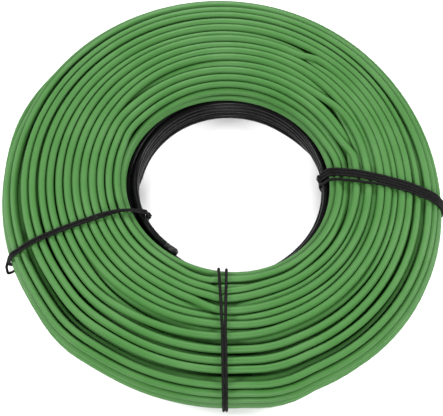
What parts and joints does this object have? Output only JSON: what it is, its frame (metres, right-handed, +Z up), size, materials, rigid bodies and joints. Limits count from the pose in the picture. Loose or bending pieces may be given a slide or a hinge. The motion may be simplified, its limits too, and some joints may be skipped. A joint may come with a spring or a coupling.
{
  "type": "snow melting cable",
  "caption": "Flat coil of green heating cable with a black cold lead inside its bore, held by black cord ties; laid under paving to melt snow.",
  "frame": {"origin": "centre of the coil's bounding box, on the floor that it lies on", "axes": "+Z up along the coil's axis, +X to the right and -Y towards the viewer in the picture"},
  "size_m": [0.3932, 0.3948, 0.0587],
  "materials": {
    "green_jacket": "satin",
    "black_jacket": "satin",
    "black_cap": "satin",
    "black_cord": "matt"
  },
  "bodies": {
    "root": {"heating_cable_coil": "green_jacket", "cold_lead_coil": "black_jacket", "lead_end_cap": "black_cap", "tie_left": "black_cord", "tie_front": "black_cord", "tie_right": "black_cord"}
  },
  "joints": []
}
